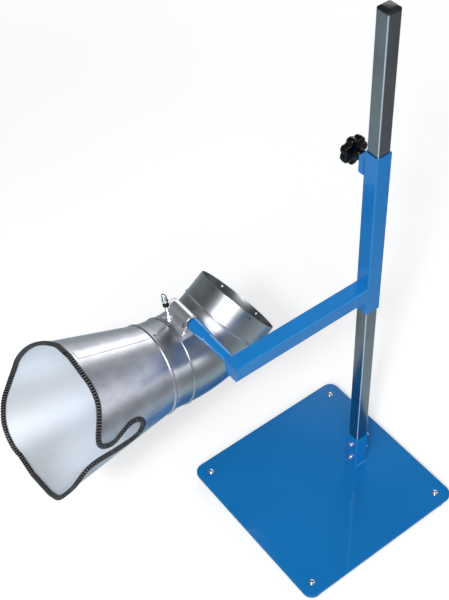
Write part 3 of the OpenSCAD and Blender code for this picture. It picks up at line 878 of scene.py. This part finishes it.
@dataclass
class FunnelLines:
    """The funnel's axis, cone and mouth line, in millimetres, from the same values as its solid."""

    corner: Point3 = BEND_CORNER
    bend_r: float = 150.0
    bend_angle: float = 45.0
    stub_len: float = 47.0
    cone_r: float = 81.5
    cone_angle: float = 11.3
    sheet: float = 1.0
    top: float = 154.0
    side: float = 189.0
    lip: float = 226.0
    slot_end: float = 71.0
    slot_r: float = 16.5
    throat: float = 7.0
    curve_steps: int = 24

    def radius(self, along: float) -> float:
        """Middle radius of the sheet at a distance along the axis."""
        return self.cone_r - self.sheet / 2 + along * math.tan(math.radians(self.cone_angle))

    def world(self, across: float, height: float, along: float) -> Vector:
        """Put a point given across, above and along the axis into the shared frame, in metres.

        Args:
            across: To the right of the axis, along X.
            height: Above the axis.
            along: Along the axis from the small end of the cone.

        Returns:
            The point.
        """
        up = FUNNEL_RISE
        ahead = self.bend_r * math.tan(math.radians(self.bend_angle / 2)) + self.stub_len + along
        return Vector(
            (
                (self.corner[0] + across) * MM,
                (self.corner[1] - ahead * math.cos(up) + height * math.sin(up)) * MM,
                (self.corner[2] + ahead * math.sin(up) + height * math.cos(up)) * MM,
            )
        )

    def sides(self) -> tuple[list[Point], list[Point]]:
        """Lines of the mouth's two sides, as height and distance along the axis.

        Returns:
            The far side's and the near side's line.
        """
        slope = math.tan(math.radians(self.cone_angle))
        top_r = self.cone_r + self.top * slope
        low_r = self.cone_r + self.lip * slope
        top, side, lip, r, t = self.top, self.side, self.lip, self.slot_r, self.throat
        c = self.slot_end + r
        head = [(top_r + 12, top), (top_r - 6, top), (top_r - 7.5, top)]
        tail = [(-low_r + 7.5, lip), (-low_r + 6, lip), (-low_r - 12, lip)]
        far = [
            (top_r - 9.5, top + 1.6), (top_r - 14, top + 4.5), (90, top + 8.6), (76, side - 19.5),
            (60, side - 14), (44, side - 8.7), (25, side - 3), (3, side + 1.8), (-23, side + 12),
            (-49, side + 25.5), (-65, lip - 5), (-82, lip + 0.8), (-97, lip + 3.6), (-110, lip + 3.8),
            (-low_r + 9.5, lip + 1.8),
        ]
        near = [
            (top_r - 9.5, top - 0.9), (top_r - 16, top - 2.6), (88, top - 3), (80, top - 2.4), (71.5, top),
            (62, top + 4.2), (49, top + 10), (37, top + 14), (24, top + 14.8), (13.5, top + 9.5),
            (6.5, top - 1), (t - 4, c + 55), (t - 3.5, c + 45), (t + 2.4, c + 33), (r - 1.2, c + 19.5),
            (r + 0.5, c + 7), (r - 2.5, c - 4), (r * 0.48, c - 10.5), (-1.3, self.slot_end + 3.2),
            (-r * 0.67, c - 11.3), (-r - 1.5, c - 7), (-r - 5.3, c), (-r - 6.3, c + 13.5),
            (-t - 13.2, c + 33.3), (-t - 9.4, c + 52.7), (-t - 5.7, c + 71.5), (-t - 3.7, side - 14.5),
            (-12.5, side + 1.5), (-20.5, side + 12.8), (-36.5, side + 22.3), (-50, lip - 9.5),
            (-62, lip - 1), (-74, lip + 5.5), (-88, lip + 6), (-100, lip + 3.8), (-111, lip + 2.3),
            (-low_r + 9.5, lip + 0.8),
        ]
        return self.line(head, far, tail), self.line(head, near, tail)

    def line(self, head: Sequence[Point], side: Sequence[Point], tail: Sequence[Point]) -> list[Point]:
        """Join one side's smooth run to the straight ends that both sides share."""
        return [*head, *self.curve([head[1], *side, tail[1]], self.curve_steps), *tail]

    @staticmethod
    def curve(points: Sequence[Point], steps: int) -> list[Point]:
        """Run a smooth line through given points.

        Args:
            points: The points, the first and last of which only steer the line.
            steps: Steps between two points.

        Returns:
            The line.
        """
        line = []
        for i in range(1, len(points) - 2):
            a, b, c, d = points[i - 1 : i + 3]
            for k in range(steps):
                t = k / steps
                line.append(
                    tuple(
                        0.5 * (
                            2 * q + (r - p) * t
                            + (2 * p - 5 * q + 4 * r - s) * t * t
                            + (3 * q - p - 3 * r + s) * t**3
                        )
                        for p, q, r, s in zip(a, b, c, d)
                    )
                )
        return line + [points[-2]]

    def half(self, points: Sequence[Point], sign: int) -> list[Vector]:
        """One side of the mouth line on the cone, from the top to the lip, in the funnel's own frame.

        Args:
            points: The side's line.
            sign: 1 for the near side, -1 for the far side.

        Returns:
            Points as across, height and along, in millimetres.
        """
        found: list[Vector] = []
        for (h0, s0), (h1, s1) in zip(points, points[1:]):
            in0, in1 = self.radius(s0) - abs(h0), self.radius(s1) - abs(h1)
            if in0 * in1 < 0:
                t = in0 / (in0 - in1)
                along = s0 + (s1 - s0) * t
                found.append(Vector((0.0, math.copysign(self.radius(along), h0), along)))
            if in1 > 0:
                found.append(Vector((sign * math.sqrt(self.radius(s1) ** 2 - h1 * h1), h1, s1)))
        return found

    def mouth(self, step: float) -> list[Vector]:
        """The whole mouth line at even steps, starting at the top and running down the near side.

        Args:
            step: Wanted distance between points.

        Returns:
            A closed ring of points as across, height and along, in millimetres.
        """
        far, near = self.sides()
        ring = self.half(near, 1) + self.half(far, -1)[::-1][1:]
        lengths = [0.0]
        for a, b in zip(ring, ring[1:]):
            lengths.append(lengths[-1] + (b - a).length)
        count = round(lengths[-1] / step)
        even, i = [], 0
        for k in range(count):
            want = lengths[-1] * k / count
            while lengths[i + 1] < want:
                i += 1
            share = (want - lengths[i]) / max(lengths[i + 1] - lengths[i], 1e-9)
            even.append(ring[i].lerp(ring[i + 1], share))
        return even


@dataclass
class MouthTrim:
    """The ribbed black strip on the mouth's raw edge, with a butt joint near the top."""

    lines: FunnelLines = field(default_factory=FunnelLines)
    pitch: float = 4.8
    per_rib: int = 8
    cut: float = 1.1
    joint_at: float = 0.993
    joint_gap: float = 2.4
    leg: float = 6.5
    core: float = 1.5  # depth of the point that the grooves are cut towards
    liner: float = 0.7  # the section stays uncut this near the sheet
    aim: int = 4  # points each way that give the strip's direction
    bow: int = 11  # points each way that give its bend
    bend_share: float = 0.9  # share of the bend's radius that the legs may fill
    plain: int = 4  # rings without a groove at each cut end
    groove: float = 0.7  # below 1 the grooves have steep sides
    painted_highlight: float = 1.5  # above 1 the painted highlight keeps to the ribs' tops
    # across the sheet, and outwards from its edge
    section: tuple[Point, ...] = (
        (0.62, -6.0), (1.5, -6.5), (2.7, -6.3), (3.3, -5.4), (3.5, -3.6), (3.5, -1.2), (3.15, 0.6),
        (2.3, 1.8), (1.1, 2.4), (0.0, 2.5), (-1.1, 2.4), (-2.3, 1.8), (-3.15, 0.6), (-3.5, -1.2),
        (-3.5, -3.6), (-3.3, -5.4),
        (-2.7, -6.3), (-1.5, -6.5), (-0.62, -6.0), (-0.55, -3.0), (-0.55, 0.05), (0.55, 0.05), (0.55, -3.0),
    )

    def frames(self) -> list[tuple[Vector, Vector, Vector, float]]:
        """Points along the strip with the sheet's outward and the strip's outer direction.

        Returns:
            For each ring the point, the two directions, and how deep the legs may reach.
        """
        ring = self.lines.mouth(self.pitch / self.per_rib)
        count = len(ring)
        alpha = math.radians(self.lines.cone_angle)
        found = []
        for i, p in enumerate(ring):
            along = (ring[(i + self.aim) % count] - ring[i - self.aim]).normalized()
            round_out = Vector((p.x, p.y, 0.0)).normalized()
            skin = round_out * math.cos(alpha) - Vector((0.0, 0.0, 1.0)) * math.sin(alpha)
            outer = along.cross(skin).normalized()
            ahead, behind = ring[(i + self.bow) % count], ring[i - self.bow]
            turn = (ahead - p).normalized() - (p - behind).normalized()
            reach = (ahead - behind).length / 2
            bend = -turn.dot(outer) / max(reach, 1e-6)
            legs = 1.0 if bend < 1e-4 else min(1.0, self.bend_share / bend / self.leg)
            found.append((p, skin, outer, legs))
        return found

    def build(self) -> bpy.types.Object:
        """Sweep the ribbed section round the mouth and close its two cut ends.

        Returns:
            The strip.
        """
        frames = self.frames()
        count = len(frames)
        start = int(count * self.joint_at)
        skip = max(1, round(self.joint_gap / (self.pitch / self.per_rib)))
        mesh = bmesh.new()
        # Per point, how near it is to a rib's top; the material paints a highlight there.
        crest = mesh.verts.layers.float.new("crest")
        rows = []
        for k in range(count - skip):
            p, skin, outer, legs = frames[(start + k) % count]
            wave = math.cos(2 * math.pi * k / self.per_rib)
            grooved = self.plain <= k < count - skip - self.plain
            lean = self.cut * max(0.0, -wave) ** self.groove if grooved else 0.0
            row = []
            for n, b in self.section:
                if abs(n) > self.liner or b > 1:
                    keep = 1 - lean / math.hypot(n, b + self.core)
                    n, b = n * keep, (b + self.core) * keep - self.core
                if b < 0:
                    b *= legs
                q = p + skin * n + outer * b
                row.append(mesh.verts.new(self.lines.world(q.x, q.y, q.z)))
                row[-1][crest] = max(0.0, wave) ** self.painted_highlight
            rows.append(row)
        wide = len(self.section)
        for a, b in zip(rows, rows[1:]):
            for i in range(wide):
                mesh.faces.new((a[i], a[(i + 1) % wide], b[(i + 1) % wide], b[i]))
        mesh.faces.new(rows[0][::-1])
        mesh.faces.new(rows[-1])
        data = bpy.data.meshes.new("mouth_edge_strip")
        mesh.to_mesh(data)
        mesh.free()
        strip = bpy.data.objects.new("mouth_edge_strip", data)
        bpy.context.scene.collection.objects.link(strip)
        Bench.clean(strip, 1e-7)
        return Bench.smooth(strip, 50.0)

    def fit(self) -> None:
        """Build the strip and put it on the hood."""
        Bench.place_on(self.build(), Body.HOOD, Finish.TRIM, "trim_rubber", ("mouth_trim",))


# ---------------------------------------------------------------- small parts


@dataclass
class GripKnob:
    """Lobed hand knob with rounded edges, a dished front and a ringed boss."""

    lobes: int = 7
    columns: int = 14
    hub: float = 15.5
    depth: float = 0.23
    sharp: float = 2.2
    # radius, and distance from the neck's end
    steps: tuple[Point, ...] = (
        (8.6, 0.0), (9.2, 0.8), (9.6, 9.6), (12.0, 11.0), (18.0, 11.2), (22.6, 11.8), (24.4, 13.4),
        (25.0, 16.0),
        (25.0, 21.5), (24.3, 24.2), (22.4, 26.0), (19.2, 26.9), (14.6, 27.2), (13.6, 26.4), (12.8, 26.4),
        (12.0, 27.4), (10.6, 28.0), (5.0, 28.4), (0.4, 28.5),
    )

    def fit(self) -> None:
        """Build the knob round its screw and put it on its body."""
        low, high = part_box("star_knob")
        middle = (Vector(low) + Vector(high)) / 2
        start = Vector((high[0], middle.y, middle.z))
        room = (high[0] - low[0]) / MM
        last = self.steps[-1][1]
        steps = [(r, t * min(1.0, room / last)) for r, t in self.steps]
        sides = self.lobes * self.columns
        knob = Bench.turned("grip_knob", start, Vector((-1.0, 0.0, 0.0)), steps, sides)
        for k in range(self.columns):
            share = 0.5 - 0.5 * math.cos(2 * math.pi * k / self.columns)
            pull = 1.0 - self.depth * share**self.sharp
            if pull > 0.999:
                continue

            def on_column(place: Vector, _: Vector, k: int = k) -> bool:
                """Say whether a point belongs to this column of the lobes.

                Args:
                    place: The point.
                    k: The column.

                Returns:
                    Whether it does.
                """
                y, z = place.y - start.y, place.z - start.z
                column = math.degrees(math.atan2(z, y)) % 360.0 / (360.0 / sides)
                return math.hypot(y, z) > self.hub * MM and round(column) % self.columns == k

            Bench.pick(knob, Part.POINT, on_column)
            bpy.ops.transform.resize(value=(1.0, pull, pull), center_override=start)
        Bench.clear()
        Bench.smooth(Bench.clean(knob), 50.0)
        Bench.place_on(knob, Body.KNOB, Finish.KNOB, "knob_plastic", ("star_knob",))


@dataclass
class FootScrews:
    """Four small domed screws that hold the feet, each in a thin collar."""

    dome: tuple[Point, ...] = (
        (5.2, 0.0), (5.4, 0.4), (5.3, 1.2), (4.9, 2.1), (4.2, 2.9), (3.2, 3.5), (2.0, 3.9), (1.0, 4.05),
        (0.2, 4.1),
    )
    collar: tuple[Point, ...] = ((5.9, 0.0), (5.9, 0.35), (5.7, 0.5), (5.2, 0.5), (5.0, 0.4))
    shank: tuple[Point, ...] = ((3.6, 3.0), (4.0, 3.5), (4.0, 25.6))
    inset: float = 8.0
    lift: float = 0.3

    def fit(self) -> None:
        """Build one screw, copy it to the four corners and put them on the base."""
        low, high = (Vector(c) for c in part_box("foot_screws"))
        plate_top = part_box("base_plate")[1][2]
        inset = self.inset * MM
        up = Vector((0.0, 0.0, 1.0))
        across = (low.x + inset, high.x - inset)
        deep = (low.y + inset, high.y - inset)
        corners = [Vector((x, y, 0.0)) for x in across for y in deep]
        seat = corners[0] + up * plate_top
        head = Bench.turned("screw_head", seat + up * self.lift * MM, up, self.dome)
        ring = Bench.turned("screw_collar", seat, up, self.collar)
        stem = Bench.turned("screw_stem", corners[0], up, self.shank, 24)
        screw = Bench.join("foot_screw", [head, ring, stem])
        copies = [Bench.copy(screw, corner - corners[0]) for corner in corners[1:]]
        screws = Bench.join("foot_screw_set", [screw, *copies])
        Bench.smooth(screws, 35.0)
        Bench.place_on(screws, Body.BASE, Finish.SCREW, "screw_chrome", ("foot_screws",))


@dataclass
class SocketBolts:
    """Two hexagon bolts through the socket, with rounded washers under their heads."""

    head: tuple[Point, ...] = (
        (5.2, 0.0), (5.7, 0.4), (5.7, 3.0), (5.3, 3.6), (4.4, 4.0), (2.6, 4.2), (0.3, 4.25),
    )
    washer: tuple[Point, ...] = ((6.2, 0.0), (6.9, 0.35), (7.0, 0.8), (6.7, 1.25), (5.9, 1.5), (3.0, 1.5))
    shank: tuple[Point, ...] = ((2.9, 0.0), (2.9, 43.6), (2.3, 44.6))
    half: float = 5.6
    start: float = 1.0
    edge: float = 0.45
    turn: float = 14.0

    def fit(self) -> None:
        """Build one bolt, copy it to the upper place and put both on the base."""
        low, high = (Vector(c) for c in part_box("socket_bolts"))
        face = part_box("post_socket")[0][1]
        middle = (low.x + high.x) / 2
        back = Vector((0.0, -1.0, 0.0))
        half = self.half * MM
        seat = Vector((middle, face, low.z + half))
        washer = Bench.turned("bolt_washer", seat, back, self.washer, 32)
        head = Bench.turned("bolt_head", seat + back * self.washer[-1][1] * MM, back, self.head, 6, self.turn)
        shank = Bench.turned("bolt_shank", seat + back * self.start * MM, -back, self.shank, 24)
        Bench.round_edges(head, self.edge, 0.5)
        bolt = Bench.join("socket_bolt", [washer, head, shank])
        upper = Bench.copy(bolt, Vector((0.0, 0.0, high.z - low.z - 2 * half)))
        bolts = Bench.join("socket_bolt_set", [bolt, upper])
        Bench.smooth(bolts, 35.0)
        Bench.place_on(bolts, Body.BASE, Finish.BRIGHT, "bolt_zinc", ("socket_bolts",))


@dataclass
class PostTube:
    """Square post with drawn round corners, hollow along its middle."""

    wall: float = 1.5
    corner: float = 1.7

    def fit(self) -> None:
        """Build the post and put it on the base."""
        low, high = (Vector(c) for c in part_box("post"))
        tube = Bench.block("post_tube", (low + high) / 2, high - low)
        Bench.pick(tube, Part.EDGE, lambda _, way: abs(way.z) > 0.9)
        bpy.ops.mesh.bevel(offset=self.corner * MM, segments=6)
        Bench.pick(tube, Part.FACE, lambda _, out: abs(out.z) > 0.9)
        bpy.ops.mesh.delete(type="FACE")
        Bench.clear()
        Bench.modify(tube, "SOLIDIFY", thickness=self.wall * MM, offset=-1.0, use_even_offset=True)
        Bench.smooth(Bench.clean(tube), 40.0)
        Bench.place_on(tube, Body.BASE, Finish.POST, "post_zinc", ("post",))


@dataclass
class PostCap:
    """Square push-in cap with a bevelled rim, a raised middle and a plug."""

    skirt: float = 3.2
    slope: float = 3.4
    rise: float = 3.2
    shoulder: float = 0.75
    top_share: float = 0.72
    corner: float = 2.6
    lip: float = 1.7
    plug: float = 14.0
    plug_grow: float = 0.10
    edge: float = 0.5

    def fit(self) -> None:
        """Build the cap on top of the post and put it on the base."""
        low, high = (Vector(c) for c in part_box("post_cap"))
        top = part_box("post")[1][2]
        middle = (low + high) / 2
        wide, deep = high.x - low.x, high.y - low.y
        skirt = self.skirt * MM
        cap = Bench.block("post_end_cap", (middle.x, middle.y, top + skirt / 2), (wide, deep, skirt))
        Bench.pick(cap, Part.EDGE, lambda _, way: abs(way.z) > 0.9)
        bpy.ops.mesh.bevel(offset=self.corner * MM, segments=5)
        Bench.pick(cap, Part.FACE, lambda _, out: out.z > 0.9)
        up = Vector((0.0, 0.0, MM))
        keep = 1.0 - 2 * self.slope * MM / wide
        centre = (middle.x, middle.y, top)
        Bench.extrude(up * (self.rise * self.shoulder), (keep, keep, 1.0), centre)
        Bench.extrude(up * (self.rise * (1 - self.shoulder)), (self.top_share, self.top_share, 1.0), centre)
        Bench.pick(cap, Part.FACE, lambda _, out: out.z < -0.9)
        inner = 1.0 - 2 * self.lip * MM / wide + self.plug_grow
        bpy.ops.mesh.inset(thickness=self.lip * MM)
        Bench.extrude(up * -self.plug, (inner, inner, 1.0), centre)
        Bench.clear()
        Bench.round_edges(cap, self.edge, math.radians(30))
        Bench.smooth(Bench.clean(cap), 40.0)
        Bench.place_on(cap, Body.BASE, Finish.CAP, "cap_plastic", ("post_cap",))


# ---------------------------------------------------------------- carried nodes


@dataclass
class CarriedNodes:
    """The CAD nodes whose shape is shown as it is, and their finishes."""

    finishes: dict[Finish, tuple[str, ...]] = field(
        default_factory=lambda: {
            Finish.PLATE: ("base_plate",),
            Finish.PAINT: (
                "post_socket", "sleeve", "clamp_boss", "arm", "arm_end_plate", "cross_tube", "cross_bush",
            ),
            Finish.WELD: ("socket_weld", "arm_weld"),
            Finish.DUCT: ("elbow", "hose_spigot", "elbow_neck", "neck_rivets"),
            Finish.FUNNEL: ("funnel", "funnel_lap"),
            Finish.BRACKET: ("hinge_bracket", "jam_nut", "pivot_ring"),
            Finish.SCREW: ("cap_nut",),
            Finish.BOLT: (
                "foot_nuts", "socket_washers", "socket_nuts", "clamp_screw", "bracket_bolts",
                "bracket_washers", "bracket_nuts",
            ),
            Finish.STEEL: ("pivot_rod",),
            Finish.BRASS: ("clamp_pad",),
            Finish.BLACK: ("friction_disc", "lock_nut"),
            Finish.RUBBER: ("rubber_feet",),
        }
    )

    def fit(self) -> None:
        """Dress every carried node."""
        for finish, names in self.finishes.items():
            Bench.dress(finish, *names)


# ---------------------------------------------------------------- stage


@dataclass
class Studio:
    """Pale floor, soft light and the camera."""

    stand: Point3 = (0.9234, -0.8369, 1.8673)
    right: Point3 = (0.60079, 0.79827, -0.04260)
    up: Point3 = (-0.56294, 0.46031, 0.68645)
    ahead: Point3 = (-0.56759, 0.38843, -0.72593)
    focus_px: float = 1105.5
    tall_px: float = 600.0
    low_wall: Colour = (0.24, 0.25, 0.25)
    ceiling: Colour = (0.07, 0.075, 0.08)
    back_wall: Colour = (0.86, 0.88, 0.94)
    floor_bounce: Colour = (0.56, 0.67, 0.71)
    floor_dim: Colour = (0.28, 0.29, 0.30)
    floor_size: float = 24.0
    floor_glow: float = 0.35
    glow_reach: Point = (1.2, 4.5)
    dim_reach: Point = (0.45, 1.25)
    wall_reach: Point = (0.0, 0.9)
    panel_reach: Point = (0.05, 0.75)
    panel_top: Point = (0.42, 0.66)
    paper: float = 0.97
    sensor: float = 36.0
    lamps: tuple[tuple[str, Point3, Point3, float, float], ...] = (
        ("front_box", (1.8, -2.3, 3.5), (-0.1, -0.1, 0.35), 2.9, 118.0),
        ("front_core", (1.75, -2.25, 3.45), (-0.1, -0.1, 0.35), 0.40, 46.0),
        ("back_box", (-1.5, 1.6, 1.7), (-0.1, 0.0, 0.4), 0.9, 8.0),
        ("side_box", (2.6, 1.4, 1.6), (0.0, 0.0, 0.4), 1.0, 8.0),
    )

    def camera(self) -> None:
        """Stand the camera at its viewing angle."""
        data = bpy.data.cameras.new("camera")
        data.sensor_width = self.sensor
        data.sensor_fit = "AUTO"
        data.lens = self.sensor * self.focus_px / self.tall_px
        data.clip_end = 50.0
        cam = bpy.data.objects.new("camera", data)
        bpy.context.scene.collection.objects.link(cam)
        turn = Matrix((self.right, self.up, tuple(-c for c in self.ahead))).transposed()
        cam.matrix_world = Matrix.Translation(self.stand) @ turn.to_4x4()
        bpy.context.scene.camera = cam

    def floor(self) -> None:
        """Lay the floor: paper white to the camera, and a dimmer tone to what mirrors it."""
        Bench.clear()
        bpy.ops.mesh.primitive_plane_add(size=self.floor_size, location=(0.0, 0.0, 0.0))
        ground = bpy.context.object
        ground.name = "floor"
        g = Graph("floor_paper")
        cloud = g.noise(g.place(), 0.8, 2.0)
        seen = g.add("ShaderNodeLightPath", out="Is Camera Ray")
        tone = g.mix(cloud, (0.90, 0.90, 0.90), (0.93, 0.93, 0.93))
        spot = g.add("ShaderNodeTexCoord", out="Object")
        x, y = g.axis(spot, 0), g.axis(spot, 1)
        far = ((x * x + y * y) ** 0.5).fade(*self.glow_reach)
        glow = self.floor_glow + far * (self.paper - self.floor_glow)
        bounce = g.mix((x + y).fade(*self.dim_reach), self.floor_bounce, self.floor_dim)
        ground.data.materials.append(
            g.shade(
                Base_Color=g.mix(seen, bounce, tone),
                Roughness=0.95,
                Specular_IOR_Level=0.1,
                Emission_Color=g.mix(seen * glow, (0.0, 0.0, 0.0), (1.0, 1.0, 1.0)),
                Emission_Strength=1.0,
            )
        )

    def lamp(self, name: str, place: Point3, aim: Point3, size: float, power: float) -> None:
        """Hang one soft lamp.

        Args:
            name: The lamp's name.
            place: Where it hangs.
            aim: The point that it faces.
            size: Edge of the lit square.
            power: Watts.
        """
        data = bpy.data.lights.new(name, "AREA")
        data.size = size
        data.energy = power
        lamp = bpy.data.objects.new(name, data)
        bpy.context.scene.collection.objects.link(lamp)
        lamp.location = place
        lamp.rotation_euler = (Vector(aim) - Vector(place)).to_track_quat("-Z", "Y").to_euler()

    def sky(self) -> None:
        """Hang a white backdrop that lights the object only dimly, so that gloss keeps its contrast."""
        world = bpy.data.worlds.new("room")
        bpy.context.scene.world = world
        g = Graph("room", world)
        way = g.add("ShaderNodeTexCoord", out="Generated")
        height, behind = g.axis(way, 2), g.axis(way, 1)
        seen = g.add("ShaderNodeLightPath", out="Is Camera Ray")
        room = g.mix(height.fade(*self.wall_reach), self.low_wall, self.ceiling)
        panel = behind.fade(*self.panel_reach) * (1.0 - height.fade(*self.panel_top))
        room = g.mix(panel, room, self.back_wall)
        g.feed(g.shader.inputs["Color"], g.mix(seen, room, (self.paper,) * 3))

    def build(self) -> None:
        """Set the whole stage."""
        self.camera()
        self.floor()
        for lamp in self.lamps:
            self.lamp(*lamp)
        self.sky()
        bpy.context.scene.view_settings.view_transform = "Standard"


def main() -> None:
    """Build the pieces in order."""
    logging.basicConfig(level=logging.INFO, format="%(name)s: %(message)s")
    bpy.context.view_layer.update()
    Studio().build()
    CarriedNodes().fit()
    MouthTrim().fit()
    GripKnob().fit()
    FootScrews().fit()
    SocketBolts().fit()
    PostTube().fit()
    PostCap().fit()


if __name__ == "__main__":
    main()
